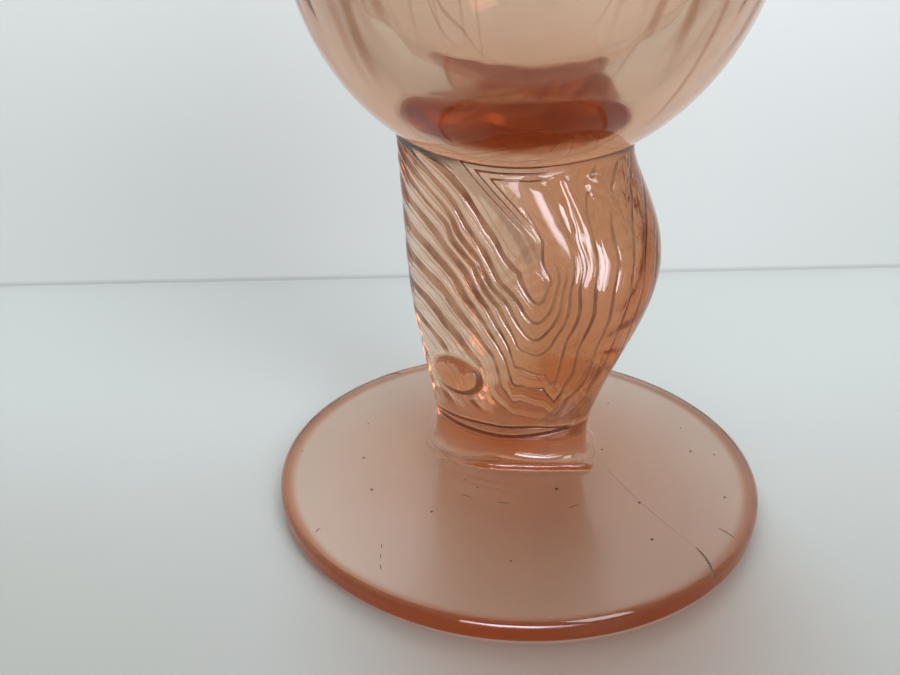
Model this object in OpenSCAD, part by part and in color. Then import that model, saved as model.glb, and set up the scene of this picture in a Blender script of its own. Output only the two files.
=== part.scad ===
// Footed glass bud vase: a round foot, a collar, a twisted reeded stem with an oval boss on
// each broad face, and a ball-shaped bowl that closes to a narrow neck with a flared mouth.
// The origin is the middle of the resting face, +Z is up, and -Y is the front.

/* [Foot] */
// Diameter of the foot
foot_d = 80; // [70:1:90]
// Height of the edge of the foot
foot_edge_h = 3.8; // [3:0.1:5]
// Radius that rounds the edge of the foot
foot_edge_round = 1.3; // [0.6:0.1:1.5]
// Height of the flat pad in the middle of the foot, which carries the collar
foot_pad_h = 6.4; // [5.5:0.1:8]
// Radius of that flat pad
foot_pad_r = 18; // [17:0.5:22]
// Inner radius of the flat ring that the vase rests on
rest_ring_r = 31; // [28:0.5:33]
// Height of the middle of the shallow hollow under the foot
underside_rise = 1; // [0.4:0.1:2]

/* [Collar] */
// Half the length of the collar, from side to side
collar_x = 14.4; // [14:0.1:16]
// Half the depth of the collar, from front to back
collar_y = 10; // [9.5:0.5:13]
// Height of the upright edge of the collar
collar_edge_h = 1.1; // [0.6:0.1:2]
// How far the two seam corners of the collar stand out
collar_corner = 1.5; // [0:0.1:2.4]
// Full height of the collar
collar_h = 4.6; // [3.6:0.1:5.5]

/* [Stem] */
// Half the long axis of the stem's oval section where it meets the collar
stem_long_base = 13; // [12.5:0.1:13.4]
// Half the long axis of the section where the stem meets the bowl
stem_long_top = 17.1; // [15:0.1:18]
// How much longer the section is at the belly of the stem
stem_belly = 4.6; // [0:0.1:6]
// Half the short axis of the section where it meets the collar
stem_short_base = 7.6; // [7:0.1:8.4]
// Half the short axis of the section where it meets the bowl
stem_short_top = 12; // [10:0.1:13]
// Turn of the section about Z at the collar, in degrees
stem_turn_base = -16; // [-24:1:0]
// Turn of the section where it meets the bowl, in degrees
stem_turn_top = -4; // [-16:1:8]
// Further turn at the belly of the stem, in degrees
stem_turn_belly = -7; // [-14:1:0]
// Sideways lean of the belly
stem_lean = 2.4; // [0:0.1:4]
// Depth of the reeds pressed into the stem
reed_depth = 0.5; // [0:0.05:0.8]
// Number of reeds round the stem
reed_count = 16; // [8:4:16]

/* [Boss] */
// Half the length of the oval boss
boss_long = 4.9; // [3:0.1:6]
// Half the height of the oval boss
boss_short = 2.7; // [2:0.1:4]
// How far the crown of the boss stands out of the stem
boss_proud = 0.9; // [0.4:0.1:1.5]
// Height of the middle of the boss above the resting face
boss_z = 21.5; // [19:0.5:26]

/* [Bowl] */
// Outside radius of the ball-shaped bowl
bowl_r = 32.1; // [31:0.1:34]
// Height of the middle of the ball
bowl_z = 84.8; // [84:0.1:87]
// Radius of the round hollow inside the bowl
hollow_r = 26.4; // [25:0.1:28]
// How far the middle of the hollow is above the middle of the ball, which makes the base thick
hollow_rise = 3.8; // [2:0.1:5]
// Height at which the thick base passes into the thin wall
bowl_split_z = 71; // [66:0.5:74]
// Height at which the shoulder passes into the neck
shoulder_z = 112; // [110:0.5:113]

/* [Neck and mouth] */
// Radius of the round way through the neck
neck_bore_r = 9.2; // [8:0.1:10]
// Thickness of the glass round the neck
neck_wall = 2.5; // [2:0.1:3]
// Height at which the straight neck starts
neck_start_z = 119; // [118:0.5:121]
// Length of the straight neck
neck_len = 8; // [6:0.5:10]
// Full height of the vase
vase_h = 150; // [145:1:160]
// Radius of the middle of the rolled lip
lip_r = 20.4; // [18:0.2:22]
// Radius of the rolled lip's own section
lip_bead_r = 2; // [1.6:0.1:2.4]

/* [Hidden] */

glass_deep = "#b9693c";
glass_mid = "#cf8a63";
glass_pale = "#e3b294";

foot_r = foot_d / 2;
edge_in_r = foot_r - foot_edge_round;
hollow_z = bowl_z + hollow_rise;
collar_top = foot_pad_h + collar_h;
seam_turn = -34;
oval_power = 2.3;
stem_sides = 96;
stem_rings = 20;
cap_rings = 5;
collar_rings = 6;
collar_sides = 96;
boss_sides = 32;
boss_rings = 5;
neck_steps = 10;
lip_cut_z = vase_h - lip_bead_r - 1.2;
lip_cut_half = sqrt(pow(lip_bead_r, 2) - pow(1.2, 2));
fine = 160;

// ---- shared maths ----

function mix(a, b, t) = a + (b - a) * t;
function ease(t) = t * t * (3 - 2 * t);
function unit(t) = max(0, min(1, t));

// Shortest turn from one direction to another, for shapes that repeat every half turn
function half_turn_gap(a, b) = let (g = (a - b) % 180) g > 90 ? g - 180 : g < -90 ? g + 180 : g;

// Height of the outside of the ball, below its middle, at a distance r from the axis
function ball_under(r) = bowl_z - sqrt(pow(bowl_r, 2) - r * r);

// Radius of the outside of the ball and of the hollow inside it at height z
function ball_out(z) = sqrt(pow(bowl_r, 2) - pow(z - bowl_z, 2));
function ball_in(z) = sqrt(pow(hollow_r, 2) - pow(z - hollow_z, 2));

// Faces of a closed loft: rows of points, each row having the same number of points.
// The first row is the lower end. Both ends are closed with a fan on a middle point.
function loft_faces(rows, n) = concat(
    [for (j = [0 : rows - 2], i = [0 : n - 1])
        [j * n + i, (j + 1) * n + i, (j + 1) * n + (i + 1) % n]],
    [for (j = [0 : rows - 2], i = [0 : n - 1])
        [j * n + i, (j + 1) * n + (i + 1) % n, j * n + (i + 1) % n]],
    [for (i = [0 : n - 1]) [rows * n, i, (i + 1) % n]],
    [for (i = [0 : n - 1]) [rows * n + 1, (rows - 1) * n + (i + 1) % n, (rows - 1) * n + i]]
);

module loft(points, n, low_middle, high_middle) {
    rows = len(points) / n;
    polyhedron(
        points = concat(points, [low_middle, high_middle]),
        faces = loft_faces(rows, n),
        convexity = 6
    );
}

// ---- stem section ----

// v runs from 0 at the collar to 1 at the bowl
function stem_long(v) =
    mix(stem_long_base, stem_long_top, v) + stem_belly * pow(abs(sin(180 * pow(v, 1.19))), 1.3);
function stem_short(v) = mix(stem_short_base, stem_short_top, v);
function stem_turn(v) =
    mix(stem_turn_base, stem_turn_top, v * v) + stem_turn_belly * sin(180 * pow(v, 0.8));
function stem_middle(v) =
    mix(-0.7, -1.2, v) + stem_lean * pow(abs(sin(180 * pow(v, 1.6))), 1.6);

// Distance from the middle of the oval section to its edge in direction a
function oval(a, long, short) = pow(
    pow(abs(cos(a)) / long, oval_power) + pow(abs(sin(a)) / short, oval_power),
    -1 / oval_power
);

// Depth of the reeds in direction a: they follow the turn of the section and fade at both ends
function reed(a, v) =
    reed_depth * (0.5 - 0.5 * cos(reed_count * a)) * ease(unit(v * 6)) * ease(unit((1 - v) * 8));

// One point of the stem's side, k sides round and v of the way up
function stem_xy(k, v) = let (
    a = 360 * k / stem_sides,
    r = oval(a, stem_long(v), stem_short(v)) - reed(a, v),
    t = a + stem_turn(v)
) [stem_middle(v) + r * cos(t), r * sin(t)];

function norm2(p) = sqrt(p[0] * p[0] + p[1] * p[1]);
function stem_seat_z(k) = ball_under(norm2(stem_xy(k, 1)));

stem_side = [
    for (j = [0 : stem_rings], k = [0 : stem_sides - 1]) let (
        v = j / stem_rings,
        p = stem_xy(k, v)
    ) [p[0], p[1], mix(collar_top, stem_seat_z(k), v)]
];

// The top of the stem is a shallow cup that the ball sits in
stem_cup = [
    for (j = [1 : cap_rings - 1], k = [0 : stem_sides - 1]) let (
        f = 1 - j / cap_rings,
        p = stem_xy(k, 1) * f
    ) [p[0], p[1], ball_under(norm2(p))]
];

// ---- collar ----

// Outline of the collar: rounded at two corners and drawn out at the two seam corners
function collar_power(a) = 2.6 - 0.6 * sin(2 * a);
function collar_outline(a) =
    pow(pow(abs(cos(a)) / collar_x, collar_power(a)) + pow(abs(sin(a)) / collar_y, collar_power(a)),
        -1 / collar_power(a))
    + collar_corner * exp(-pow(half_turn_gap(a, seam_turn) / 9, 2));

function collar_xy(a) = let (r = collar_outline(a)) [stem_middle(0) + r * cos(a), r * sin(a)];
function collar_angle(k) = 360 * k / collar_sides + stem_turn(0);

// An upright edge, and above it a hollow curve that runs up into the stem
collar_points = concat(
    [for (z = [foot_pad_h, foot_pad_h + collar_edge_h], k = [0 : collar_sides - 1])
        let (p = collar_xy(collar_angle(k))) [p[0], p[1], z]],
    [for (j = [1 : collar_rings], k = [0 : collar_sides - 1]) let (
        q = 90 * j / collar_rings,
        p = mix(collar_xy(collar_angle(k)), stem_xy(k, 0), sin(q)),
        z = mix(foot_pad_h + collar_edge_h, collar_top, 1 - cos(q))
    ) [p[0], p[1], z]]
);

// ---- bosses ----

// A flat oval button, standing along +Z, whose back face is buried in the stem
function boss_points() = [
    for (j = [0 : boss_rings], k = [0 : boss_sides - 1]) let (
        q = j == 0 ? 0 : 78 * (j - 1) / (boss_rings - 1),
        f = cos(q),
        z = j == 0 ? -boss_buried : boss_proud * sin(q)
    ) [boss_long * f * cos(360 * k / boss_sides), boss_short * f * sin(360 * k / boss_sides), z]
];

module boss() {
    loft(boss_points(), boss_sides, [0, 0, -boss_buried], [0, 0, boss_proud]);
}

// Place on the broad face of the stem, left of the middle of the front
boss_v = (boss_z - collar_top) / (stem_seat_z(62) - collar_top);
boss_side = 229;
boss_out = oval(boss_side, stem_long(boss_v), stem_short(boss_v)) - reed_depth / 2;
boss_dir = boss_side + stem_turn(boss_v);

// Direction that the oval section faces at angle a
function oval_facing(a, long, short) = atan2(
    sign(sin(a)) * pow(abs(sin(a)), oval_power - 1) / pow(short, oval_power),
    sign(cos(a)) * pow(abs(cos(a)), oval_power - 1) / pow(long, oval_power)
);
boss_facing = oval_facing(boss_side, stem_long(boss_v), stem_short(boss_v)) + stem_turn(boss_v);
boss_lean = 5;
boss_tilt = 100;
boss_buried = 1.4;

module boss_place() {
    translate([stem_middle(boss_v) + boss_out * cos(boss_dir), boss_out * sin(boss_dir), boss_z])
        rotate([0, 0, boss_facing])
            rotate([0, 90 + boss_lean, 0])
                rotate([0, 0, boss_tilt])
                    children();
}

// ---- bowl ----

// Half section of the ball's wall: the hollow is set high, so the glass is thick below and thin above
module ball_section() {
    difference() {
        translate([0, bowl_z])
            circle(r = bowl_r, $fn = fine);
        translate([0, hollow_z])
            circle(r = hollow_r, $fn = fine);
        translate([-foot_d, 0])
            square([foot_d, vase_h]);
    }
}

module ball_zone(low, high) {
    rotate_extrude($fn = fine)
        intersection() {
            ball_section();
            translate([0, low])
                square([foot_d, high - low]);
        }
}

// ---- neck ----

neck_end_z = neck_start_z + neck_len;
neck_out_r = neck_bore_r + neck_wall;

// A smooth curve between two radii: it leaves the first one sloping and ends upright
function sweep_in(r0, r1, z0, z1) = [
    for (i = [0 : neck_steps]) let (t = i / neck_steps)
        [mix(r0, r1, 1 - pow(1 - t, 2.4)), mix(z0, z1, t)]
];
function sweep_out(r0, r1, z0, z1) = [
    for (i = [0 : neck_steps]) let (t = i / neck_steps)
        [mix(r0, r1, pow(t, 2.2)), mix(z0, z1, t)]
];
function backwards(list) = [for (i = [len(list) - 1 : -1 : 0]) list[i]];

neck_outside = concat(
    sweep_in(ball_out(shoulder_z), neck_out_r, shoulder_z, neck_start_z),
    sweep_out(neck_out_r, lip_r + lip_cut_half, neck_end_z, lip_cut_z)
);
neck_inside = concat(
    sweep_in(ball_in(shoulder_z), neck_bore_r, shoulder_z, neck_start_z),
    sweep_out(neck_bore_r, lip_r - lip_cut_half, neck_end_z, lip_cut_z)
);

// ---- sub-parts ----

module foot() {
    color(glass_pale)
        rotate_extrude($fn = fine)
            union() {
                polygon([
                    [0, underside_rise],
                    [rest_ring_r, 0],
                    [edge_in_r, 0],
                    [edge_in_r, foot_edge_h],
                    [foot_pad_r, foot_pad_h],
                    [0, foot_pad_h]
                ]);
                translate([edge_in_r - 0.01, foot_edge_round])
                    square([foot_edge_round + 0.01, foot_edge_h - 2 * foot_edge_round]);
                for (z = [foot_edge_round, foot_edge_h - foot_edge_round])
                    translate([edge_in_r, z])
                        circle(r = foot_edge_round, $fn = 48);
            }
}

module foot_collar() {
    color(glass_mid)
        loft(collar_points, collar_sides, [stem_middle(0), 0, foot_pad_h], [stem_middle(0), 0, collar_top]);
}

module stem() {
    color(glass_deep)
        loft(
            concat(stem_side, stem_cup), stem_sides,
            [stem_middle(0), 0, collar_top], [0, 0, ball_under(0)]
        );
}

module boss_front() {
    color(glass_mid)
        boss_place()
            boss();
}

module boss_back() {
    color(glass_mid)
        translate([2 * stem_middle(boss_v), 0, 0])
            rotate([0, 0, 180])
                boss_place()
                    boss();
}

module bowl_base() {
    color(glass_mid)
        ball_zone(bowl_z - bowl_r, bowl_split_z);
}

module bowl() {
    color(glass_pale)
        ball_zone(bowl_split_z, shoulder_z);
}

module neck() {
    color(glass_pale)
        rotate_extrude($fn = fine)
            polygon(concat(neck_outside, backwards(neck_inside)));
}

module lip() {
    color(glass_mid)
        rotate_extrude($fn = fine)
            intersection() {
                translate([lip_r, vase_h - lip_bead_r])
                    circle(r = lip_bead_r, $fn = 48);
                translate([0, lip_cut_z])
                    square([foot_d, vase_h]);
            }
}

foot();
foot_collar();
stem();
boss_front();
boss_back();
bowl_base();
bowl();
neck();
lip();
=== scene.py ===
"""The look of the footed glass bud vase: one closed body of pressed peach glass, with its pressed
lines, bowl flutes and wear, standing on a pale table against a pale wall."""

import math

import bpy
import numpy as np
from mathutils import Matrix, Vector


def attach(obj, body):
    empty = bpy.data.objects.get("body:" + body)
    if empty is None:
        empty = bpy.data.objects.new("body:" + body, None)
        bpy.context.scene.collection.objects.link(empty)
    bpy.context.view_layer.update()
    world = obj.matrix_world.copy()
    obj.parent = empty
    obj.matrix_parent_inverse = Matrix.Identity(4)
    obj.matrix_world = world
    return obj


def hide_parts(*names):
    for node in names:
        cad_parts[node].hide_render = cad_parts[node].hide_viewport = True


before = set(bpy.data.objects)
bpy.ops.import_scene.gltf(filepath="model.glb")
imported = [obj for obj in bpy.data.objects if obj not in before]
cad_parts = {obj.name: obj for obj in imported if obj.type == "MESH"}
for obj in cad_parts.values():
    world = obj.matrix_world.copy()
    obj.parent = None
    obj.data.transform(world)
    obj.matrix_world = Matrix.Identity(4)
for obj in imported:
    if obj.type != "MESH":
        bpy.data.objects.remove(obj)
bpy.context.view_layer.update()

MM = 0.001

# ---- sizes, in millimetres, as the CAD has them ----

FOOT_R = 40.0
FOOT_EDGE_H = 3.8
FOOT_TOP_H = 6.4
FOOT_EDGE_ROUND = 1.3
FOOT_FLAT_R = 13.0
UNDERSIDE_RISE = 1.0
REST_R = 31.0

COLLAR_X, COLLAR_Y = 14.4, 10.0
COLLAR_CORNER = 1.5
COLLAR_EDGE_H = 1.1
COLLAR_H = 4.6
COLLAR_TOP = FOOT_TOP_H + COLLAR_H
SEAM_TURN = math.radians(-34)

OVAL_POWER = 2.3
STEM_LONG = (13.0, 17.1)
STEM_SHORT = (7.6, 12.0)
STEM_BELLY = 4.6
STEM_TURN = (-16.0, -4.0)
STEM_TURN_BELLY = -7.0
STEM_LEAN = 2.4

BOWL_R = 32.1
BOWL_Z = 84.8
HOLLOW_R = 26.4
HOLLOW_Z = BOWL_Z + 3.8
SHOULDER_Z = 112.0
NECK_BORE_R = 9.2
NECK_WALL = 2.5
NECK_Z = (119.0, 127.0)
VASE_H = 150.0
LIP_R = 20.4
LIP_BEAD_R = 2.0

# Points round the collar and stem, and rows up the stem. The other parts have half as many points round.
STEM_SIDES = 512
STEM_ROWS = 230

# ---- how deep the colour of the glass is: 0 is pale, 1 is amber and 2 is deep orange ----

BOWL_TONE = 0.2
FLOOR_TONE = 0.35
JOINT_TONE = 0.4
STEM_TONES = (0.1, 1.15)
STEM_BASE_TONE = 0.6
BOSS_TONE = 1.7
COLLAR_TONES = (0.5, 1.1)
COLLAR_EDGE_TONES = (0.6, 1.7)
# The foot's deeper middle is partly its thickness and partly painted shade.
FOOT_TONES = (0.60, 0.16)
# The rim's deeper tint in front is painted light.
RIM_TONES = (1.45, 2.0)

# ---- how much roughness is added where the glass is less polished ----

UNDER_SATIN = 0.35
TOP_SATIN = 0.13
REED_SATIN = 0.1
FLOOR_SATIN = 0.09
JOINT_SATIN = 0.3


def mix(a, b, t):
    return a + (b - a) * t


def ease(t):
    return t * t * (3 - 2 * t)


def unit(t):
    return np.clip(t, 0.0, 1.0)


def ramp(t, low, high):
    """0 below low, 1 above high, and smooth between."""
    return ease(unit((t - low) / (high - low)))


# ---- the stem, as the CAD shapes it ----


def stem_long(v):
    """Half the long width of the stem's section, where v goes from 0 at the collar to 1 at the bowl."""
    return mix(*STEM_LONG, v) + STEM_BELLY * np.abs(np.sin(np.pi * v**1.19)) ** 1.3


def stem_short(v):
    return mix(*STEM_SHORT, v)


def stem_turn(v):
    """How far the section is turned, in radians."""
    return np.radians(mix(*STEM_TURN, v * v) + STEM_TURN_BELLY * np.sin(np.pi * v**0.8))


def stem_middle(v):
    """How far the middle of the section leans along x."""
    return mix(-0.7, -1.2, v) + STEM_LEAN * np.abs(np.sin(np.pi * v**1.6)) ** 1.6


def oval(a, long, short):
    """Radius of a full oval in a direction."""
    return (
        (np.abs(np.cos(a)) / long) ** OVAL_POWER + (np.abs(np.sin(a)) / short) ** OVAL_POWER
    ) ** (-1 / OVAL_POWER)


def ball_under(r):
    """Height of the underside of the ball at a radius."""
    return BOWL_Z - np.sqrt(BOWL_R**2 - r * r)


def stem_xy(a, v, cut=0.0):
    """A point on the stem, with the surface cut back by a depth."""
    r = oval(a, stem_long(v), stem_short(v)) - cut
    t = a + stem_turn(v)
    return stem_middle(v) + r * np.cos(t), r * np.sin(t)


def stem_seat_z(a):
    """Height of the joint with the ball, all round the stem."""
    return ball_under(np.hypot(*stem_xy(a, 1.0)))


# ---- the pressed pattern on each broad face of the stem ----
# Places are (across, height): across is measured along the long axis of the section.
# The lines are nested like flames. Each entry is a line's number, from the inside outwards, and points
# on it.
# The mesh carries smooth fields, such as the level between two lines, and the glass material draws
# the thin lines themselves from those fields, so that they stay sharp between the mesh points.

GRAIN = [
    (1, [(-11, 56), (-5, 50), (-2, 45), (2, 40), (6, 35.6), (6.8, 39), (5, 45), (2.5, 50)]),
    (2, [(-14, 56), (-7, 48), (-4, 43), (-1, 38), (3, 34.5), (6, 32.4), (7.4, 36), (6.6, 42)]),
    (3, [(-15, 55), (-8, 45.5), (-4, 40), (0, 35.5), (4, 30.5), (5.8, 29.4), (7.9, 32), (8.2, 38)]),
    (4, [(-16, 54), (-9, 46), (-5, 40), (-1, 34.5), (2.5, 30), (5.5, 27.3), (9, 31), (9.4, 38)]),
    (5, [(-17, 50), (-12, 45), (-8, 40.5), (-4, 35.5), (0, 30.5), (3, 26), (6, 24), (9, 24), (10.5, 30)]),
    (5, [(10.7, 38), (9.5, 45), (8.4, 50)]),
    (6, [(-17, 44.5), (-11, 40), (-6, 34.5), (-2, 30.5), (2, 25.5), (4, 21.8), (8, 21.6), (10.4, 21.5)]),
    (6, [(12.3, 28), (13.3, 35), (12.5, 43), (10.8, 50)]),
    (7, [(-16.5, 39), (-9, 34), (-4, 29.5), (0, 25.5), (1.5, 20.5), (4, 19), (8, 17.8), (12, 20)]),
    (7, [(14.5, 26), (15.5, 33), (15.3, 42), (13.8, 50)]),
    (8, [(-16, 34), (-9, 29.5), (-4, 25), (-1, 21.5), (2, 16.8), (8, 15.5), (13.5, 19), (17, 29)]),
    (8, [(17.6, 38), (16.8, 48)]),
    (9, [(-15, 29), (-10, 26), (-4, 17), (2, 13.6), (9, 13.6), (14, 15), (19.5, 34), (19, 42)]),
]


def spline_kernel(d2):
    """Thin plate kernel, from the square of the distance."""
    return 0.5 * d2 * np.log(d2 + 1e-9)


LEVEL_SLACK = 2.0


def fit_levels():
    """Thin plate through the points of GRAIN: a smooth height whose contours are the pressed lines."""
    points = np.array([p for _, line in GRAIN for p in line], float)
    levels = np.array([k for k, line in GRAIN for _ in line], float)
    n = len(points)
    d2 = ((points[:, None] - points[None]) ** 2).sum(-1)
    system = np.zeros((n + 3, n + 3))
    system[:n, :n] = spline_kernel(d2) + np.eye(n) * LEVEL_SLACK
    system[:n, n] = system[n, :n] = 1
    system[:n, n + 1 :] = points
    system[n + 1 :, :n] = points.T
    weights = np.linalg.solve(system, np.concatenate([levels, np.zeros(3)]))
    return points, weights


GRAIN_POINTS, GRAIN_WEIGHTS = fit_levels()


def level(w, z):
    """Height of the thin plate at places on a face."""
    flat = np.stack([np.ravel(w), np.ravel(z)], -1)
    n = len(GRAIN_POINTS)
    out = np.full(len(flat), GRAIN_WEIGHTS[n])
    out += flat @ GRAIN_WEIGHTS[n + 1 :]
    for p, g in zip(GRAIN_POINTS, GRAIN_WEIGHTS[:n]):
        out += g * spline_kernel(((flat - p) ** 2).sum(-1))
    return out.reshape(np.shape(w))


def grain_level(w, z):
    """Level of the flame lines. Low down they take two sudden steps where the flames meet."""
    steps = 2.5 * unit(1 - np.abs(w - 9.7) / 1.6) + 1.0 * unit(1 - np.abs(w - 3.4) / 1.4)
    steps *= ramp(z, 14.5, 17.5) * (1 - ramp(z, 25.0, 31.0))
    return level(w, z + steps)


# Upright rounded reeds on the right of each face: (half width, height, places along the middle)
REEDS = [
    (2.1, 0.55, [(3.6, 53.9), (5.6, 48), (7.3, 44), (8.4, 39), (8.9, 35)]),
    (0.8, 0.3, [(7.9, 54.0), (9.5, 50), (11.0, 46), (11.9, 41), (12.2, 37)]),
    (1.6, 0.45, [(11.5, 54.0), (13.2, 50), (14.5, 46), (15.4, 42.5)]),
]
REED_FADE = 12.0


def reed_height(w, z):
    """How far the reeds stand out: round across, round at the top, and fading out below."""
    out = np.zeros_like(w)
    for half, tall, path in REEDS:
        zs = np.array([p[1] for p in path][::-1], float)
        ws = np.array([p[0] for p in path][::-1], float)
        top, low = zs[-1], zs[0]
        across = (w - np.interp(z, zs, ws)) / half
        over = np.maximum(z - (top - half), 0) / half
        round_top = unit(1 - np.abs(across) ** 2.6 - over**2.6)
        out = np.maximum(out, tall * round_top * ramp(z, low, low + REED_FADE))
    return out


BOSS_AT = (-6.8, 20.8)
BOSS_HALF = (4.4, 2.9)
BOSS_TILT = math.radians(-3)
BOSS_TALL = 0.5


def boss_rho(w, z):
    """Distance from the middle of the boss, which is 1 on its outline."""
    dx, dz = w - BOSS_AT[0], z - BOSS_AT[1]
    c, s = math.cos(BOSS_TILT), math.sin(BOSS_TILT)
    return np.hypot((c * dx + s * dz) / BOSS_HALF[0], (-s * dx + c * dz) / BOSS_HALF[1])


# Nested corners under the bowl: they follow the joint, then turn down along a slanting line
NEST_CORNER = (-5.7, 55.1)
NEST_SLANT = (0.765, 0.644)
NEST_FIRST, NEST_STEP = 0.15, 0.87


def nest_depth(w, z, seat):
    """Distance inside the nested corners, and the distance from their slanting side alone."""
    beside = NEST_SLANT[0] * (w - NEST_CORNER[0]) + NEST_SLANT[1] * (z - NEST_CORNER[1])
    return np.minimum(seat - z, beside), beside


# Dark slanting bands inside the innermost flame: (half width, start, end, how far the middle bends left)
BANDS = [
    (0.42, (-6.5, 55), (3, 42), 1.0),
    (0.16, (-4.5, 54), (6, 38), 1.5),
]


def bent_line(start, end, bend, count):
    """Points along a shallow arc between two places. Its middle is off the straight line, to the left."""
    (x0, y0), (x1, y1) = start, end
    t = np.linspace(0, 1, count)
    bow = bend * 4 * t * (1 - t) / math.hypot(x1 - x0, y1 - y0)
    return np.stack([x0 + (x1 - x0) * t - (y1 - y0) * bow, y0 + (y1 - y0) * t + (x1 - x0) * bow], -1)


def line_distance(w, z, path):
    """Distance from a line that joins the points of a path."""
    out = np.full(np.shape(w), np.inf)
    for (aw, az), (bw, bz) in zip(path[:-1], path[1:]):
        dw, dz = bw - aw, bz - az
        t = unit(((w - aw) * dw + (z - az) * dz) / (dw * dw + dz * dz))
        out = np.minimum(out, np.hypot(w - aw - t * dw, z - az - t * dz))
    return out


# Fine lines that spread like a fan from one place, one for every few degrees
FAN_AT = (6.3, 14.1)
FAN_RIDGE = 3.2

# Depths of the relief in mm. The ridges are deeper towards the left of the face.
RIDGE_DEEP = (0.10, 0.25)
DITCH_DEEP = 0.22
LOW_RING_DEEP, TOP_RING_DEEP = 0.16, 0.10
BAND_POINTS = 9
BAND_SOFT = 0.45


def pattern_fields(w, z, seat):
    """Smooth fields at places on a broad face, and the relief of the glass there in mm."""
    step = 0.05
    grain = grain_level(w, z)
    slope = np.hypot(grain_level(w + step, z) - grain, grain_level(w, z + step) - grain) / step + 0.05

    rho = boss_rho(w, z)
    reeds = reed_height(w, z)
    nest, beside = nest_depth(w, z, seat)
    nest_part = ramp(-nest, -2.35, -2.15) * (1 - ramp(w, 4.5, 7.0)) * ramp(beside, -0.2, 0.1)
    nest_part *= ramp(z, 44.0, 50.0)
    press = ramp(rho, 1.05, 1.6) * ramp(z, 14.0, 16.5) * (1 - 0.9 * ramp(reeds, 0.1, 0.4))
    press *= (1 - nest_part) * ramp(seat - z, 0.2, 1.8)
    press *= 1 - ramp(z, 47.0, 51.0) * ramp(w, -2.0, 1.0) * (1 - ramp(w, 8.0, 12.0))

    low_ring = 11.2 + 2.4 * unit((w - 0.5) / 10.5) ** 1.4 + 0.9 * unit((-w - 1.0) / 9.5) ** 1.6
    top_ring = 13.0 + 0.9 * ramp(w, 0.0, 7.5) - 0.1 * unit(-w / 10)
    fan_r = np.hypot(w - FAN_AT[0], z - FAN_AT[1])
    fan_turn = np.degrees(np.arctan2(z - FAN_AT[1], w - FAN_AT[0]))
    fan_part = ramp(fan_turn, 6, 12) * (1 - ramp(fan_turn, 46, 52))
    fan_part *= ramp(fan_r, 1.0, 2.5) * (1 - ramp(fan_r, 7.0, 9.0))

    # Painted shade: the dark crescent round the boss is strongest on its lower right.
    towards = (w - BOSS_AT[0]) - 1.5 * (z - BOSS_AT[1])
    shade = (1 - ramp(np.abs(beside + 1.15), 0.35, 0.75)) * ramp(z, 50.3, 51.5)
    for half, start, end, bend in BANDS:
        distance = line_distance(w, z, bent_line(start, end, bend, BAND_POINTS))
        shade = np.maximum(shade, 1 - ramp(distance, half, half + BAND_SOFT))

    ridge = (0.5 + 0.5 * np.cos(2 * np.pi * np.maximum(grain, 0.5))) * press
    ridge *= mix(*RIDGE_DEEP, ramp(-w, -1.0, 8.0))
    dome = BOSS_TALL * unit(1 - rho**2)
    ditch = DITCH_DEEP * np.exp(-(((rho - 1.12) / 0.14) ** 2))
    ring_groove = LOW_RING_DEEP * np.exp(-(((z - low_ring) / 0.35) ** 2))
    ring_groove += TOP_RING_DEEP * np.exp(-(((z - top_ring) / 0.3) ** 2))
    cut = ridge + ditch + ring_groove - dome - reeds
    fields = {
        "grain": grain,
        "slope": slope,
        "press": press,
        "ring_low": z - low_ring,
        "ring_top": z - top_ring,
        "ring_part": ramp(-np.abs(w - 0.5), -11.8, -10.8),
        "boss": rho,
        "boss_shade_side": mix(0.4, 1.0, ramp(towards, -1.0, 3.5)),
        "nest": nest,
        "nest_part": nest_part,
        "fan": fan_turn / FAN_RIDGE,
        "fan_part": fan_part,
        "shade": shade,
        "satin": REED_SATIN * ramp(reeds, 0.15, 0.5),
    }
    return fields, cut


# The strengths among the fields. They are 0 at the two sides of the stem and fainter on its back.
PARTS = ("satin", "press", "ring_part", "boss_shade_side", "nest_part", "fan_part", "shade")
BACK_PART = 0.3


def face_place(a, v):
    """How far across its broad face each point of the section is. Past the turn of the side, the
    distance goes on along the surface."""
    r = oval(a, stem_long(v), stem_short(v))
    across = r * np.cos(a)
    past_turn = np.maximum(0.6 * stem_short(v) - np.abs(r * np.sin(a)), 0)
    return across + np.sign(across) * 0.5 * past_turn


def stem_fields(a, v, z, seat):
    """Fields and relief all round the stem. The back face is the front face turned half way round."""
    side = face_place(a, v)
    front = np.sin(a) < 0
    w = np.where(front, side, -side)
    fields, cut = pattern_fields(w, z, seat)
    part = ramp(np.abs(np.sin(a)), 0.02, 0.10) * np.where(front, 1.0, BACK_PART)
    for name in PARTS:
        fields[name] = fields[name] * part
    tone = mix(*STEM_TONES, ramp(side, -6.0, 8.0))
    tone += 0.3 * (1 - ramp(z, 16.0, 38.0)) * ramp(side, -8.0, -1.0)
    tone *= 1 - 0.45 * ramp(np.sin(a), 0.0, 0.3) * ramp(z, 30.0, 42.0)
    tone = mix(STEM_BASE_TONE, tone, ramp(z, 12.0, 18.0))
    fields["tone"] = np.maximum(tone, BOSS_TONE * (1 - ramp(boss_rho(w, z), 0.9, 1.2)))
    near_joint = 1 - ramp(seat - z, 0.6, mix(1.6, 3.4, 1 - ramp(side, -9.0, -4.0)))
    fields["satin"] = np.maximum(fields["satin"], JOINT_SATIN * near_joint)
    relief = cut * part * ramp(np.abs(np.sin(a)), 0.05, 0.4) * (1 - ramp(v, 0.985, 1.0))
    return fields, relief


# ---- the collar and the foot ----


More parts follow.
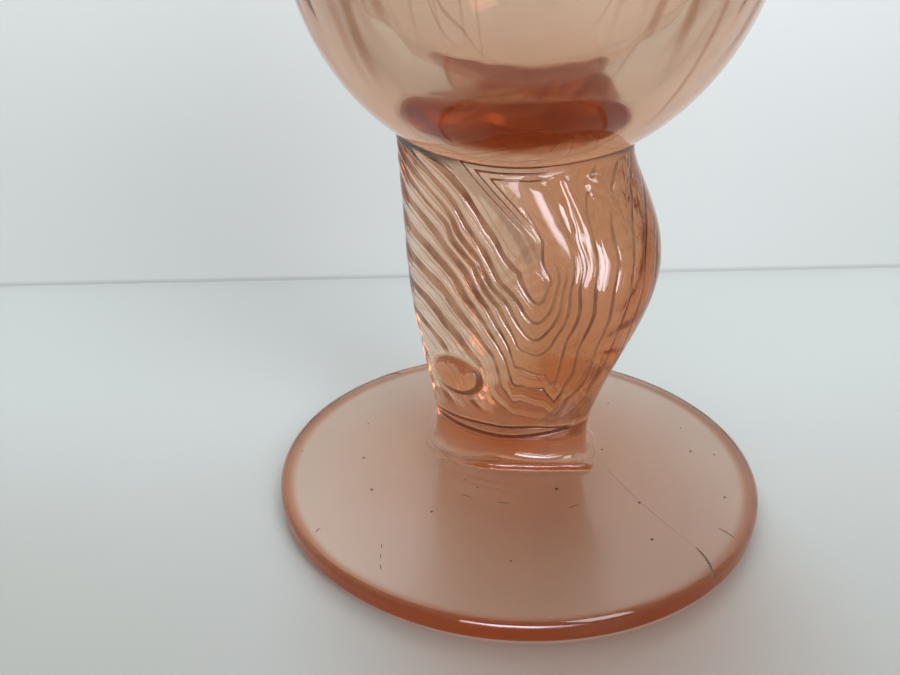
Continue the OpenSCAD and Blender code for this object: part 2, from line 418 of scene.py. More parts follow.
def collar_xy(a):
    """Outline of the collar: a rounded oblong with a corner at each mould seam."""
    p = 2.6 - 0.6 * np.sin(2 * a)
    r = ((np.abs(np.cos(a)) / COLLAR_X) ** p + (np.abs(np.sin(a)) / COLLAR_Y) ** p) ** (-1 / p)
    gap = (np.degrees(a - SEAM_TURN) + 90) % 180 - 90
    r = r + COLLAR_CORNER * np.exp(-((gap / 9) ** 2))
    return stem_middle(0.0) + r * np.cos(a), r * np.sin(a)


def foot_top_z(r):
    """Height of the top of the foot: level in the middle, then falling to the edge."""
    t = unit((r - FOOT_FLAT_R) / (FOOT_R - FOOT_EDGE_ROUND - FOOT_FLAT_R))
    return FOOT_TOP_H - (FOOT_TOP_H - FOOT_EDGE_H) * t**1.5


def collar_edge(x, y):
    """How upright the collar's edge is: full in front, and low and soft elsewhere."""
    turn = np.degrees(np.arctan2(y, x))
    return mix(0.08, 1.0, ramp(turn, -140, -115) * (1 - ramp(turn, -38, -28)))


# ---- rows of points, from the middle of the underside, over the lip, to the middle of the inner floor ----

section = 2 * np.pi * np.arange(STEM_SIDES) / STEM_SIDES
stem_angle = section + stem_turn(0.0)
coarse = section[::2]
coarse_angle = coarse + stem_turn(0.0)
# Every field that the mesh carries, with its value where nothing is pressed
PLAIN = {
    "tone": 0.0, "satin": 0.0, "shade": 0.0,
    "grain": 0.5, "slope": 1.0, "press": 0.0,
    "ring_low": 9.0, "ring_top": 9.0, "ring_part": 0.0,
    "boss": 9.0, "boss_shade_side": 0.0,
    "nest": 0.5, "nest_part": 0.0,
    "fan": 0.0, "fan_part": 0.0,
}
rows = []


def add_row(x, y, z, **fields):
    """Add a closed row of points, with its own values for some of the fields."""
    x, y = np.broadcast_arrays(x, y)
    n = len(x)
    place = np.stack([x, y, np.broadcast_to(z, n)], -1)
    rows.append((place, {name: np.broadcast_to(fields.get(name, plain), n) for name, plain in PLAIN.items()}))


def add_circle(r, z, angle, **fields):
    add_row(r * np.cos(angle), r * np.sin(angle), z, **fields)


def foot_tone(r):
    """The foot is deeper in colour over its middle: partly its greater thickness, and partly painted shade
    where the bowl and stem above darken it.
    """
    return mix(*FOOT_TONES, ramp(r, 14.0, 36.0))


def rim_tone(angle):
    """The rim's tint is deepest in front: painted light, a colour that stands in for the light that has come
    through the bowl and the stem.
    """
    return mix(*RIM_TONES, ramp(-np.sin(angle), 0.0, 0.7))


def collar_tone(x, y):
    """The collar is deepest in the middle of its front."""
    return mix(*COLLAR_TONES, np.exp(-(((x + 2.0) / 5.0) ** 2)) * (y < 0))


# Underside: a shallow hollow, then the ring that it rests on
for r in np.linspace(3, REST_R, 15):
    add_circle(r, UNDERSIDE_RISE * (1 - ease(unit(r / REST_R))), coarse_angle, satin=UNDER_SATIN)
for r in (32.5, 35.0, 37.0):
    add_circle(r, 0.0, coarse_angle, satin=UNDER_SATIN)

# Rim: an upright edge between two round corners
edge_in = FOOT_R - FOOT_EDGE_ROUND
for q in np.linspace(-90, 0, 13):
    c, s = math.cos(math.radians(q)), math.sin(math.radians(q))
    z = FOOT_EDGE_ROUND * (1 + s)
    satin = -UNDER_SATIN * s
    add_circle(edge_in + FOOT_EDGE_ROUND * c, z, coarse_angle, tone=rim_tone(coarse_angle), satin=satin)
for q in np.linspace(0, 84, 13):
    c, s = math.cos(math.radians(q)), math.sin(math.radians(q))
    z = FOOT_EDGE_H - FOOT_EDGE_ROUND * (1 - s)
    tone = mix(rim_tone(coarse_angle), foot_tone(FOOT_R), s**6)
    add_circle(edge_in + FOOT_EDGE_ROUND * c, z, coarse_angle, tone=tone)

# Top of the foot: from the round rim in to the outline of the collar
collar_x, collar_y = collar_xy(coarse_angle)
for t in np.linspace(0.02, 1, 34):
    f = ease(t) * 0.35 + t * 0.65
    x = mix(edge_in * np.cos(coarse_angle), collar_x, f)
    y = mix(edge_in * np.sin(coarse_angle), collar_y, f)
    r = np.hypot(x, y)
    add_row(x, y, foot_top_z(r), tone=foot_tone(r), satin=TOP_SATIN * ramp(r, 15.0, 20.0))

# Collar: the edge with a rounded top, then the hollow curve that runs up into the stem
collar_x, collar_y = collar_xy(stem_angle)
edge_h = COLLAR_EDGE_H * collar_edge(collar_x, collar_y)
edge_tone = mix(*COLLAR_EDGE_TONES, collar_edge(collar_x, collar_y))
collar_reach = np.hypot(collar_x, collar_y)
base_x, base_y = stem_xy(section, 0.0)
seat = stem_seat_z(section)
COLLAR_INSET = 0.5
for lift, inset in ((0.12, 0.0), (0.35, 0.06), (0.6, 0.08), (0.82, 0.14), (0.95, 0.28), (1.0, COLLAR_INSET)):
    add_row(
        collar_x * (1 - inset / collar_reach),
        collar_y * (1 - inset / collar_reach),
        FOOT_TOP_H + lift * edge_h,
        tone=edge_tone,
    )
COLLAR_HUG = 0.62
for q in np.linspace(7, 89, 26):
    c, s = math.cos(math.radians(q)) ** COLLAR_HUG, math.sin(math.radians(q)) ** COLLAR_HUG
    x = mix(collar_x * (1 - COLLAR_INSET / collar_reach), base_x, s)
    y = mix(collar_y * (1 - COLLAR_INSET / collar_reach), base_y, s)
    z = mix(FOOT_TOP_H + edge_h, COLLAR_TOP, 1 - c)
    fields, _ = stem_fields(section, 0.0, z, seat)
    fields["tone"] = collar_tone(x, y)
    add_row(x, y, z, **fields)

# Stem, which spreads a little where it is fused to the bowl
SEAT_FLARE = 0.4
flared_seat = ball_under(np.hypot(*stem_xy(section, 1.0, -SEAT_FLARE)))
for v in np.linspace(0, 1, STEM_ROWS):
    z = mix(COLLAR_TOP, flared_seat, v)
    fields, relief = stem_fields(section, v, z, flared_seat)
    x, y = stem_xy(section, v, relief - SEAT_FLARE * ramp(v, 0.955, 1.02) ** 2)
    add_row(x, y, z, **fields)

# Ball: from the joint with the stem, along the ball, to the shoulder
seat_x, seat_y = stem_xy(coarse, 1.0, -SEAT_FLARE)
seat_polar = np.arcsin(np.hypot(seat_x, seat_y) / BOWL_R)
seat_azimuth = np.unwrap(np.arctan2(seat_y, seat_x))
even_azimuth = coarse + seat_azimuth[0]
top_polar = math.pi - math.asin(math.sqrt(BOWL_R**2 - (SHOULDER_Z - BOWL_Z) ** 2) / BOWL_R)

FLUTES = 32
FLUTE_DEEP = 0.13
FLUTE_TURN = math.radians(-47)


def flute(azimuth, z):
    """Depth of the soft upright flutes on the inside of the bowl, which start above its base."""
    wave = 0.5 + 0.5 * np.cos((azimuth - FLUTE_TURN) * FLUTES)
    return FLUTE_DEEP * wave**1.5 * ramp(z, 66, 92) * (1 - ramp(z, 104, 112))


for t in np.linspace(0.004, 1, 96):
    f = t**1.15
    polar = mix(seat_polar, top_polar, f)
    azimuth = mix(seat_azimuth, even_azimuth, ramp(f, 0.0, 0.4))
    x = BOWL_R * np.sin(polar) * np.cos(azimuth)
    y = BOWL_R * np.sin(polar) * np.sin(azimuth)
    z = BOWL_Z - BOWL_R * np.cos(polar)
    satin = JOINT_SATIN * (1 - ramp(f, 0.004, 0.02))
    add_row(x, y, z, tone=mix(JOINT_TONE, BOWL_TONE, ramp(z, 57, 62)), satin=satin)


# Neck and mouth, outside then inside
def neck_row(r, z):
    add_circle(r, z, even_azimuth, tone=BOWL_TONE)


shoulder_out = math.sqrt(BOWL_R**2 - (SHOULDER_Z - BOWL_Z) ** 2)
shoulder_in = math.sqrt(HOLLOW_R**2 - (SHOULDER_Z - HOLLOW_Z) ** 2)
neck_out = NECK_BORE_R + NECK_WALL
mouth_z = VASE_H - LIP_BEAD_R
SHOULDER_CURVE = 2.4
MOUTH_CURVE = 2.2
BEAD_SIDE = LIP_BEAD_R * 0.9
flare_top_z = mouth_z - 0.8
for t in np.linspace(0.06, 1, 14):
    neck_row(mix(shoulder_out, neck_out, 1 - (1 - t) ** SHOULDER_CURVE), mix(SHOULDER_Z, NECK_Z[0], t))
for t in np.linspace(0.2, 1, 5):
    neck_row(neck_out, mix(*NECK_Z, t))
for t in np.linspace(0.06, 1, 20):
    neck_row(mix(neck_out, LIP_R + BEAD_SIDE, t**MOUTH_CURVE), mix(NECK_Z[1], flare_top_z, t))
for q in np.linspace(-12, 192, 22):
    a = math.radians(q)
    neck_row(LIP_R + LIP_BEAD_R * math.cos(a), mouth_z + LIP_BEAD_R * math.sin(a))
for t in np.linspace(1, 0.06, 20):
    neck_row(mix(NECK_BORE_R, LIP_R - BEAD_SIDE, t**MOUTH_CURVE), mix(NECK_Z[1], flare_top_z, t))
for t in np.linspace(1, 0.2, 5):
    neck_row(NECK_BORE_R, mix(*NECK_Z, t))
for t in np.linspace(1, 0.06, 14):
    neck_row(mix(shoulder_in, NECK_BORE_R, 1 - (1 - t) ** SHOULDER_CURVE), mix(SHOULDER_Z, NECK_Z[0], t))

# Hollow: from the shoulder down to the middle of the floor
top_in = math.pi - math.asin(shoulder_in / HOLLOW_R)
for t in np.linspace(0, 1, 100):
    polar = mix(top_in, 0.03, t)
    r = HOLLOW_R + flute(even_azimuth, HOLLOW_Z - HOLLOW_R * math.cos(polar))
    z = HOLLOW_Z - r * np.cos(polar)
    add_row(
        r * np.sin(polar) * np.cos(even_azimuth),
        r * np.sin(polar) * np.sin(even_azimuth),
        z,
        tone=mix(FLOOR_TONE, BOWL_TONE, ramp(z, 64, 72)),
        satin=FLOOR_SATIN * (1 - ramp(z, 66, 74)),
    )


def new_object(name, verts, faces):
    mesh = bpy.data.meshes.new(name)
    mesh.from_pydata(verts, [], faces)
    mesh.update()
    thing = bpy.data.objects.new(name, mesh)
    bpy.context.collection.objects.link(thing)
    return thing


def build_shell(name, low_middle, high_middle):
    """Closed mesh through the rows. Where a row has twice the points of its neighbour, it is stitched."""
    starts = np.cumsum([0] + [len(r[0]) for r in rows])
    verts = np.concatenate([r[0] for r in rows] + [[low_middle, high_middle]]) * MM
    faces = []
    for j in range(len(rows) - 1):
        count, next_count = len(rows[j][0]), len(rows[j + 1][0])
        s, u = starts[j], starts[j + 1]
        k = np.arange(min(count, next_count))
        nxt = (k + 1) % len(k)
        if count == next_count:
            faces += np.stack([s + k, s + nxt, u + nxt, u + k], -1).tolist()
        elif next_count == 2 * count:
            faces += np.stack([s + k, u + 2 * k + 1, u + 2 * k], -1).tolist()
            faces += np.stack([s + k, s + nxt, u + 2 * nxt, u + 2 * k + 1], -1).tolist()
        else:
            faces += np.stack([s + 2 * k, s + 2 * k + 1, u + k], -1).tolist()
            faces += np.stack([s + 2 * k + 1, s + 2 * nxt, u + nxt, u + k], -1).tolist()
    low, high = len(verts) - 2, len(verts) - 1
    k = np.arange(len(rows[0][0]))
    faces += np.stack([np.full_like(k, low), (k + 1) % len(k), k], -1).tolist()
    k = np.arange(len(rows[-1][0]))
    faces += np.stack([np.full_like(k, high), starts[-2] + k, starts[-2] + (k + 1) % len(k)], -1).tolist()
    piece = new_object(name, verts.tolist(), faces)
    for field, plain in PLAIN.items():
        values = np.concatenate([r[1][field] for r in rows] + [[plain, plain]])
        piece.data.attributes.new(field, "FLOAT", "POINT").data.foreach_set("value", values)
    piece.data.shade_smooth()
    return piece


vase = build_shell("vase_glass", (0, 0, UNDERSIDE_RISE), (0, 0, HOLLOW_Z - HOLLOW_R))


# ---- materials ----


class Nodes:
    """Short way to build a node tree."""

    def __init__(self, tree):
        self.tree = tree
        tree.nodes.clear()

    def add(self, kind, inputs=None, **settings):
        node = self.tree.nodes.new(kind)
        for key, value in settings.items():
            setattr(node, key, value)
        for key, value in (inputs or {}).items():
            if isinstance(value, bpy.types.NodeSocket):
                self.tree.links.new(value, node.inputs[key])
            else:
                node.inputs[key].default_value = value
        return node

    def math(self, operation, a, b=0.0):
        return self.add("ShaderNodeMath", {0: a, 1: b}, operation=operation).outputs[0]

    def noise(self, vector, scale, detail=3.0):
        node = self.add("ShaderNodeTexNoise", {"Vector": vector, "Scale": scale, "Detail": detail})
        return node.outputs["Fac"]

    def span(self, value, low, high, to_low=0.0, to_high=1.0, smooth=False):
        """Map low to high onto to_low to to_high, and hold the ends."""
        node = self.add(
            "ShaderNodeMapRange",
            {0: value, 1: low, 2: high, 3: to_low, 4: to_high},
            interpolation_type="SMOOTHSTEP" if smooth else "LINEAR",
        )
        return node.outputs[0]

    def field(self, name):
        """A field that the mesh carries."""
        return self.add("ShaderNodeAttribute", attribute_name=name).outputs["Fac"]

    def near(self, distance, half, soft):
        """1 where the distance from 0 is under half, fading to 0 over soft."""
        size = self.math("ABSOLUTE", distance)
        return self.span(size, self.math("ADD", half, soft), half, smooth=True)

    def near_whole(self, value, slope, half, soft):
        """The same, for the distance in mm from the nearest place where the value is whole."""
        gap = self.math("SUBTRACT", value, self.math("ROUND", value))
        return self.near(self.math("DIVIDE", gap, slope), half, soft)

    def blend(self, factor, a, b):
        """Colour a where the factor is 0, and colour b where it is 1."""
        node = self.add("ShaderNodeMix", data_type="RGBA")
        for slot, value in (("Factor_Float", factor), ("A_Color", a), ("B_Color", b)):
            socket = next(s for s in node.inputs if s.identifier == slot)
            if isinstance(value, bpy.types.NodeSocket):
                self.tree.links.new(value, socket)
            else:
                socket.default_value = value
        return next(s for s in node.outputs if s.identifier == "Result_Color")


def new_material(name):
    material = bpy.data.materials.new(name)
    material.use_nodes = True
    return material, Nodes(material.node_tree)


LINE_WOBBLE = 0.28


def pressed_lines(n, place, tone):
    """Strength from 0 to 1 of the dark pressed lines, drawn from the fields on the mesh, and of the crescent
    of painted shade round the boss.
    """
    wobble = n.math("MULTIPLY", n.math("SUBTRACT", n.noise(place, 330.0, 2.0), 0.5), LINE_WOBBLE)
    slope = n.field("slope")
    grain = n.math("ADD", n.field("grain"), n.math("MULTIPLY", wobble, slope))
    uneven = n.span(n.noise(place, 210.0, 2.0), 0.35, 0.65, 0.65, 1.0)
    press = n.field("press")
    swell = n.span(n.noise(place, 95.0, 2.0), 0.35, 0.65, 0.5, 1.6)
    half = n.math("MULTIPLY", n.span(tone, 0.2, 1.0, 0.34, 0.10), swell)
    main = n.math("MULTIPLY", n.near_whole(grain, slope, half, 0.24), n.math("MULTIPLY", press, uneven))
    third = n.near_whole(n.math("MULTIPLY", grain, 3.0), n.math("MULTIPLY", slope, 3.0), 0.03, 0.17)
    third = n.math("MULTIPLY", third, n.math("MULTIPLY", press, n.span(tone, 0.2, 1.0, 0.45, 0.22)))

    low = n.math("ADD", n.field("ring_low"), n.math("MULTIPLY", wobble, 0.5))
    top = n.math("ADD", n.field("ring_top"), n.math("MULTIPLY", wobble, 0.5))
    rings = n.math("MAXIMUM", n.near(low, 0.30, 0.18), n.near(top, 0.17, 0.16))
    faint = n.math("MULTIPLY", n.near(n.math("ADD", low, 0.72), 0.05, 0.14), 0.6)
    rings = n.math("MULTIPLY", n.math("MAXIMUM", rings, faint), n.field("ring_part"))

    # The crescent round the boss is painted shade, strongest on its lower right.
    crescent = n.near(n.math("SUBTRACT", n.field("boss"), 1.04), 0.09, 0.12)
    crescent = n.math("MULTIPLY", crescent, n.field("boss_shade_side"))
    nest = n.math("DIVIDE", n.math("SUBTRACT", n.field("nest"), NEST_FIRST), NEST_STEP)
    nest = n.near_whole(nest, 1 / NEST_STEP, 0.06, 0.16)
    nest = n.math("MULTIPLY", nest, n.field("nest_part"))
    fan = n.near_whole(n.field("fan"), 1.0, 0.10, 0.25)
    fan = n.math("MULTIPLY", fan, n.field("fan_part"))
    out = main
    for more in (third, rings, crescent, nest, fan):
        out = n.math("MAXIMUM", out, more)
    return out


# Upright streaks in the bowl, partly the mould seams and partly painted shade of the flutes: (direction in
# degrees, half width in degrees, strength, lowest height)
STREAKS = [
    (-44.5, 1.2, 0.8, 56), (-54, 1.8, 0.85, 65), (-66, 1.0, 0.35, 70), (-102, 0.45, 0.6, 68),
    (-113, 0.6, 0.5, 69), (-130, 2.4, 1.0, 63), (-135, 2.0, 0.6, 62), (-149, 4.0, 0.6, 60),
    (-29, 4.0, 0.6, 60), (-162, 9.0, 0.4, 56), (-15, 9.0, 0.4, 56), (133, 1.1, 0.8, 56),
    (122, 1.6, 0.5, 70), (101, 0.6, 0.5, 70), (67, 1.2, 0.5, 70), (45, 2.4, 0.4, 64),
    (12, 1.2, 0.4, 70), (-18, 1.6, 0.4, 66), (163, 1.4, 0.4, 70),
]
STREAK_FADE_IN = 9
STREAK_TOPS = (112.0, 104.0)


def bowl_streaks(n, place):
    """Strength from 0 to 1 of the upright streaks, which fade out at the shoulder."""
    parts = n.add("ShaderNodeSeparateXYZ", {0: place})
    turn = n.math("DEGREES", n.math("ARCTAN2", parts.outputs[1], parts.outputs[0]))
    turn = n.math("ADD", turn, n.math("MULTIPLY", n.math("SUBTRACT", n.noise(place, 45.0, 1.0), 0.5), 3.0))
    height = n.math("DIVIDE", parts.outputs[2], MM)
    out = 0.0
    for direction, half, strength, low in STREAKS:
        band = n.near(n.math("SUBTRACT", turn, direction), half * 0.25, half)
        band = n.math("MULTIPLY", band, n.span(height, low, low + STREAK_FADE_IN, 0.0, strength, smooth=True))
        out = n.math("MAXIMUM", out, band)
    return n.math("MULTIPLY", out, n.span(height, *STREAK_TOPS))


GLASS_IOR = 1.51
THIN_TINT = (0.99, 0.97, 0.95, 1)
AMBER_TINT = (0.80, 0.42, 0.23, 1)
DEEP_TINT = (0.53, 0.10, 0.01, 1)
# The streak tint is partly the mould seams and partly painted shade of the flutes.
STREAK_TINT = (0.50, 0.22, 0.12, 1)
BAND_TINT = (0.34, 0.20, 0.17, 1)
LINE_SIDE_TINT = (0.70, 0.36, 0.20, 1)
LINE_TINT = (0.11, 0.022, 0.008, 1)


def glass_material():
    """Clear glass. Its tint follows the tone on the mesh, and then the streaks, bands and lines."""
    material, n = new_material("peach_glass")
    place = n.add("ShaderNodeTexCoord").outputs["Object"]
    tone = n.field("tone")
    mark = pressed_lines(n, place, tone)
    streak = bowl_streaks(n, place)

    ripple = n.math("MULTIPLY", n.noise(place, 90.0, 2.0), 0.1)
    fine = n.math("MULTIPLY", n.noise(place, 700.0, 2.0), 0.001)
    groove = n.math("MULTIPLY", mark, -0.05)
    height = n.math("ADD", n.math("ADD", ripple, fine), groove)
    bump = n.add("ShaderNodeBump", {"Height": height, "Strength": 1.0, "Distance": MM})

    tint = n.blend(tone, THIN_TINT, AMBER_TINT)
    tint = n.blend(n.span(tone, 1.0, 2.0), tint, DEEP_TINT)
    tint = n.blend(streak, tint, STREAK_TINT)
    tint = n.blend(n.math("MULTIPLY", n.field("shade"), 0.7), tint, BAND_TINT)
    tint = n.blend(n.span(mark, 0.0, 0.55), tint, LINE_SIDE_TINT)
    tint = n.blend(n.span(mark, 0.35, 1.0), tint, LINE_TINT)
    rough = n.span(n.noise(place, 260.0, 4.0), 0.45, 0.75, 0.015, 0.07)
    rough = n.math("ADD", rough, n.field("satin"))
    shader = n.add(
        "ShaderNodeBsdfPrincipled",
        {
            "Base Color": tint,
            "Roughness": rough,
            "IOR": GLASS_IOR,
            "Transmission Weight": 1.0,
            "Normal": bump.outputs[0],
        },
    )
    absorb = n.add("ShaderNodeVolumeAbsorption", {"Color": (0.92, 0.77, 0.64, 1), "Density": 100.0})
    n.add("ShaderNodeOutputMaterial", {"Surface": shader.outputs[0], "Volume": absorb.outputs[0]})
    return material


vase.data.materials.append(glass_material())
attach(vase, "root")
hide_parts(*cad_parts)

# ---- wear on the foot: a crack and a chip at the rim, scratches, the mould's seam line, dark specks ----
# Places are polar, (radius in mm, direction in degrees), and -90 degrees is the front of the vase.

CRACK_START = (35.5, -43)
# Each stroke lies on the glass: (start, end, how far its middle bends to the left, width)
STROKES = [
    (CRACK_START, (40.5, -47.5), 0.6, 0.5),
    ((15.5, -24), CRACK_START, -0.9, 0.055),
    ((36, -33), (38.5, -33.5), 0.2, 0.26),
    ((37, -140), (38, -139.5), 0.0, 0.2),
    ((39, 135), (37, 130.5), 0.5, 0.7),
    ((18.5, -97), (18.5, -91), 0.0, 0.14),
    ((20.5, -66), (20.5, -61), 0.0, 0.16),
    ((18.5, -115), (18.5, -110), 0.0, 0.14),
]
# A dotted scratch that runs in from the rim
STROKES += [((33 + 1.5 * k, 2 * k - 124), (33.6 + 1.5 * k, 2 * k - 123), 0.0, 0.16) for k in range(3)]
# Each speck: (radius, direction, size)
SPECKS = [
    (26, -165, 0.34), (27, -145, 0.36), (24, -120, 0.3), (16, -65, 0.42), (15, -10, 0.3), (30, 0, 0.34),
    (34, 0, 0.26), (35, -20, 0.3), (25, -40, 0.32), (31, -50, 0.34), (16, -110, 0.24), (37, -175, 0.24),
    (30, -90, 0.24), (15, -120, 0.2), (27, 170, 0.22), (23, 40, 0.24), (25, 125, 0.26), (29, 80, 0.22),
    (31, 15, 0.22), (30, 145, 0.22),
]
SPECK_SIDES = 9
MARK_LIFT = 0.03


def on_foot(x, y):
    """Place of a mark on the glass. Past the flat of the top, its distance goes on down the round edge."""
    r = math.hypot(x, y)
    turn = max(r - edge_in, 0.0) / FOOT_EDGE_ROUND
    out = min(r, edge_in) + (FOOT_EDGE_ROUND + MARK_LIFT) * math.sin(turn)
    drop = FOOT_EDGE_ROUND * (1 - math.cos(turn)) - MARK_LIFT * math.cos(turn)
    return x * out / r, y * out / r, float(foot_top_z(min(r, edge_in))) - drop


def polar_place(r, direction):
    turn = math.radians(direction)
    return r * math.cos(turn), r * math.sin(turn)


def wear_piece(name):
    """Thin faces just above the glass: a ragged strip for each stroke and a small patch for each speck."""
    verts, faces = [], []
    for start, end, bend, width in STROKES:
        ends = polar_place(*start), polar_place(*end)
        line = bent_line(*ends, bend, max(12, round(5 * math.dist(*ends))))
        along = np.gradient(line, axis=0)
        across = np.stack([-along[:, 1], along[:, 0]], -1) / np.hypot(*along.T)[:, None]
        for i, (p, d) in enumerate(zip(line, across)):
            taper = math.sin(math.pi * (i + 0.6) / (len(line) + 0.2)) ** 0.5
            ragged = 0.75 + 0.35 * math.sin(i * 2.4 + start[0])
            for k in (-0.5, 0.5):
                verts.append(on_foot(*(p + d * k * width * taper * ragged)))
            if i:
                n = len(verts)
                faces.append((n - 4, n - 3, n - 1, n - 2))
    for radius, direction, size in SPECKS:
        x, y = polar_place(radius, direction)
        first = len(verts)
        for k in range(SPECK_SIDES):
            a = 2 * math.pi * k / SPECK_SIDES
            q = size * (1 + 0.3 * math.sin(3 * a + x)) * (0.6 if k % 2 else 0.75)
            verts.append(on_foot(x + q * math.cos(a), y + q * math.sin(a)))
        faces.append(tuple(range(first, first + SPECK_SIDES)))
    return new_object(name, [[c * MM for c in v] for v in verts], faces)


GRIME_DARK, GRIME_LIGHT = (0.055, 0.028, 0.018, 1), (0.16, 0.085, 0.05, 1)


def grime_material():
    """Dull brown dirt in the marks."""
    material, n = new_material("grime")
    place = n.add("ShaderNodeTexCoord").outputs["Object"]
    colour = n.blend(n.noise(place, 1500.0), GRIME_DARK, GRIME_LIGHT)
    shader = n.add("ShaderNodeBsdfPrincipled", {"Base Color": colour, "Roughness": 0.7})
    n.add("ShaderNodeOutputMaterial", {"Surface": shader.outputs[0]})
    return material


wear = wear_piece("foot_wear")
wear.data.materials.append(grime_material())
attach(wear, "root")

# ---- table and wall ----


def stage_sheet(name, corners, material):
    sheet = new_object(name, corners, [tuple(range(len(corners)))])
    sheet.data.materials.append(material)
    return sheet


# Painted light on the table: the disc under the foot is painted bright and glows, standing in for the light
# that the clear glass lets through.
LIT_R = 0.0397
LIT_FADE = 0.001
# The darker front colour is painted shade.
TABLE_FRONT, TABLE_BACK = (0.335, 0.33, 0.30, 1), (0.51, 0.54, 0.535, 1)
# A painted shadow in front of the foot, tinted warm as light through the glass would tint it.
PAINTED_WARM_SHADOW = (0.32, 0.205, 0.155, 1)
LIT_COLOUR, LIT_WARM_SHADOW = (0.86, 0.84, 0.82, 1), (0.62, 0.46, 0.37, 1)
WARM_SHADOW_MIDDLE = (0.008, -0.028, 0.0)
WARM_SHADOW_R = (0.044, 0.008)


def table_material():
    """Pale top, darker towards the front: painted shade. The disc under the foot is painted light that stands
    in for what the clear glass lets through, and it glows more on its left.
    In front of the foot a warm darker patch is a painted shadow, tinted as light through the bowl and stem
    would tint it."""
    material, n = new_material("table_top")
    place = n.add("ShaderNodeTexCoord").outputs["Object"]
    parts = n.add("ShaderNodeSeparateXYZ", {0: place})
    # Painted shade: the top is darker towards the front, and darker still to the right in front.
    to_right = n.math("MAXIMUM", parts.outputs[0], 0.0)
    away = n.math("SUBTRACT", parts.outputs[1], n.math("MULTIPLY", to_right, 0.28))
    cloud = n.noise(place, 9.0, 2.0)
    tone = n.math("ADD", away, n.math("MULTIPLY", n.math("SUBTRACT", cloud, 0.5), 0.05))
    tone = n.span(tone, -0.11, 0.035, smooth=True)
    colour = n.blend(tone, TABLE_FRONT, TABLE_BACK)
    flat = n.add("ShaderNodeCombineXYZ", {0: parts.outputs[0], 1: parts.outputs[1]}).outputs[0]
    # Painted shadow: a warm darker patch in front of the foot, which also darkens the lit disc there.
    warm_from = n.add("ShaderNodeVectorMath", {0: flat, 1: WARM_SHADOW_MIDDLE}, operation="DISTANCE")
    warm = n.span(warm_from.outputs["Value"], *WARM_SHADOW_R, 0.0, 0.8, smooth=True)
    table = n.blend(warm, colour, PAINTED_WARM_SHADOW)
    # The disc under the foot: painted light.
    reach = n.add("ShaderNodeVectorMath", {0: flat}, operation="LENGTH").outputs["Value"]
    under = n.span(reach, LIT_R, LIT_R - LIT_FADE, smooth=True)
    lit = n.blend(warm, LIT_COLOUR, LIT_WARM_SHADOW)
    colour = n.blend(under, table, lit)
    # Painted light: the disc glows, more on its left.
    glow = n.span(parts.outputs[0], 0.03, -0.03, 0.0, 0.08)
    shader = n.add(
        "ShaderNodeBsdfPrincipled",
        {
            "Base Color": colour,
            "Roughness": 0.28,
            "Specular IOR Level": 0.35,
            "Emission Color": (1.0, 0.97, 0.94, 1),
            "Emission Strength": n.math("MULTIPLY", under, glow),
        },
    )
    n.add("ShaderNodeOutputMaterial", {"Surface": shader.outputs[0]})
    return material


# The wall is lighter higher up and dark at its foot: painted light and painted shadow.
WALL_LOW, WALL_HIGH = (0.32, 0.338, 0.336, 1), (0.425, 0.445, 0.45, 1)
WALL_FOOT_SHADOW = (0.12, 0.13, 0.13, 1)


def wall_material():
    """Pale paint with painted light and shade: it glows a little and is lighter higher up, and the soft dark
    line at its foot is a painted shadow.
    From behind it is clear, so that the vase can be seen from every side."""
    material, n = new_material("wall_paint_and_painted_light")
    place = n.add("ShaderNodeTexCoord").outputs["Object"]
    parts = n.add("ShaderNodeSeparateXYZ", {0: place})
    cloud = n.noise(place, 6.0, 2.0)
    # Painted light: the wall is lighter higher up.
    height = n.span(parts.outputs[2], 0.0, 0.14, smooth=True)
    tone = n.math("ADD", height, n.math("MULTIPLY", n.math("SUBTRACT", cloud, 0.5), 0.4))
    tone = n.span(tone, -0.1, 1.1, smooth=True)
    colour = n.blend(tone, WALL_LOW, WALL_HIGH)
    # Painted shadow: a soft dark line at the foot of the wall.
    base_line = n.span(parts.outputs[2], 0.0018, 0.0004, smooth=True)
    colour = n.blend(n.math("MULTIPLY", base_line, 0.35), colour, WALL_FOOT_SHADOW)
    matt = n.add("ShaderNodeBsdfDiffuse", {"Color": colour})
    # Painted light: the wall glows, though it is no lamp.
    glow = n.add("ShaderNodeEmission", {"Color": colour, "Strength": 1.15})
    paint = n.add("ShaderNodeAddShader", {0: matt.outputs[0], 1: glow.outputs[0]})
    clear = n.add("ShaderNodeBsdfTransparent")
    back = n.add("ShaderNodeNewGeometry").outputs["Backfacing"]
    both = n.add("ShaderNodeMixShader", {0: back, 1: paint.outputs[0], 2: clear.outputs[0]})
    n.add("ShaderNodeOutputMaterial", {"Surface": both.outputs[0]})
    return material


# The wall stands behind the vase, turned a little from the x axis
WALL_Y = 0.103
WALL_X = -0.02
WALL_SLANT = 0.121
WALL_H = 1.4
REACH = 1.6
TABLE_Z = -0.0002


def wall_y(x):
    return WALL_Y + WALL_SLANT * (x - WALL_X)


stage_sheet(
    "table_top",
    [(-REACH, -REACH, TABLE_Z), (REACH, -REACH, TABLE_Z), (REACH, REACH, TABLE_Z), (-REACH, REACH, TABLE_Z)],
    table_material(),
)
left_end = (-REACH, wall_y(-REACH))
right_end = (REACH, wall_y(REACH))
wall = stage_sheet(
    "back_wall",
    [(*left_end, 0), (*right_end, 0), (*right_end, WALL_H), (*left_end, WALL_H)],
    wall_material(),
)
wall.visible_shadow = False

# ---- light ----

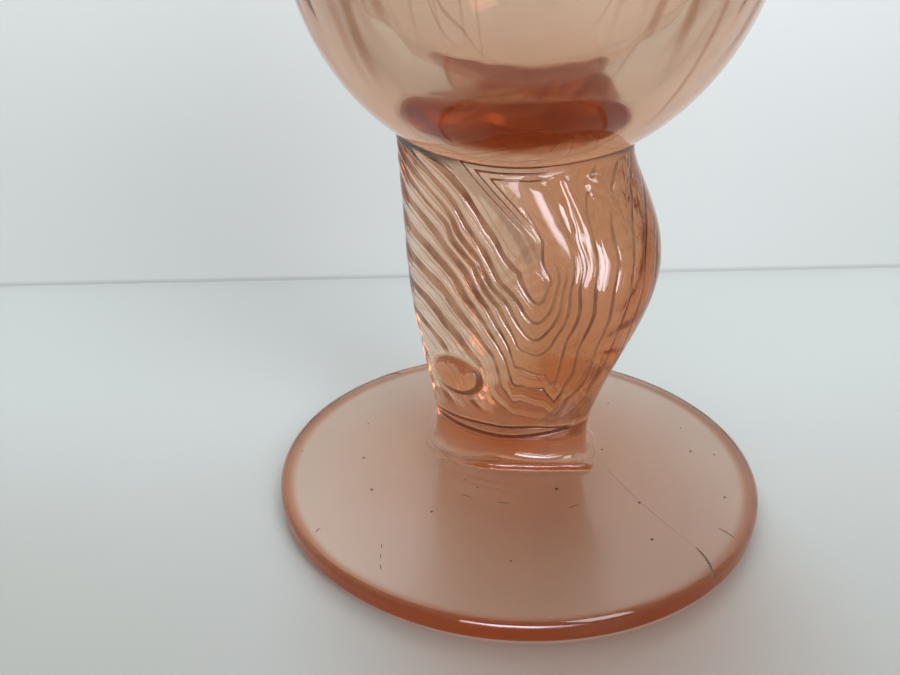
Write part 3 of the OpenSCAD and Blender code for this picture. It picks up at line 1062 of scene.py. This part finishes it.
world = bpy.data.worlds.new("soft_room")
bpy.context.scene.world = world
world.use_nodes = True
room = Nodes(world.node_tree)
direction = room.add("ShaderNodeTexCoord").outputs["Generated"]
up = room.add("ShaderNodeSeparateXYZ", {0: direction}).outputs[2]
sky = room.blend(room.span(up, -0.2, 0.9), (0.62, 0.63, 0.61, 1), (0.92, 0.96, 0.98, 1))
background = room.add("ShaderNodeBackground", {"Color": sky, "Strength": 0.57})
room.add("ShaderNodeOutputWorld", {"Surface": background.outputs[0]})


def area_light(name, place, aim, width, height, power, colour=(1, 1, 1)):
    """A soft rectangular light that faces a point."""
    data = bpy.data.lights.new(name, "AREA")
    data.shape = "RECTANGLE"
    data.size, data.size_y = width, height
    data.energy = power
    data.color = colour
    lamp = bpy.data.objects.new(name, data)
    lamp.location = place
    lamp.rotation_mode = "QUATERNION"
    lamp.rotation_quaternion = (Vector(aim) - Vector(place)).to_track_quat("-Z", "Y")
    bpy.context.collection.objects.link(lamp)
    return lamp


area_light("window_right", (0.55, -0.65, 0.62), (0, 0, 0.05), 0.35, 0.55, 4.5, (0.93, 0.97, 1.0))
area_light("ceiling", (0.0, -0.1, 1.2), (0, 0, 0), 1.2, 1.2, 1.0)
area_light("back_light", (-0.12, 0.55, 0.75), (0, 0, 0), 0.8, 0.5, 6.5)

# A low card in front, which gives the stem its pale highlights. Its narrow spread keeps it off the bowl.
card_place, card_aim = (0.02, -0.122, 0.012), (0.02, -0.02, 0.016)
card = area_light("low_card", card_place, card_aim, 0.11, 0.024, 0.022, (0.96, 0.90, 1.0))
card.visible_camera = False
card.data.spread = math.radians(64)

# ---- camera ----

LENS_PER_WIDTH = 740 / 900
SENSOR_WIDTH = 36.0
CAMERA_PLACE = (0, -0.11101, 0.07389)
YAW, PITCH, ROLL = math.radians(-5.61), math.radians(23.64), math.radians(-0.79)

forward = Vector((math.sin(YAW) * math.cos(PITCH), math.cos(YAW) * math.cos(PITCH), -math.sin(PITCH)))
level_right = Vector((math.cos(YAW), -math.sin(YAW), 0))
level_up = level_right.cross(forward)
cam_x = math.cos(ROLL) * level_right + math.sin(ROLL) * level_up
cam_y = -math.sin(ROLL) * level_right + math.cos(ROLL) * level_up

lens = bpy.data.cameras.new("camera")
lens.sensor_width = SENSOR_WIDTH
lens.lens = SENSOR_WIDTH * LENS_PER_WIDTH
lens.clip_start, lens.clip_end = 0.005, 20.0
camera = bpy.data.objects.new("camera", lens)
turned = Matrix((cam_x, cam_y, -forward)).transposed().to_4x4()
camera.matrix_world = Matrix.Translation(CAMERA_PLACE) @ turned
bpy.context.collection.objects.link(camera)
scene = bpy.context.scene
scene.camera = camera
scene.view_settings.view_transform = "Standard"
scene.cycles.max_bounces = 24
scene.cycles.transmission_bounces = 24
scene.cycles.transparent_max_bounces = 32
scene.cycles.diffuse_bounces = 4
scene.cycles.glossy_bounces = 8
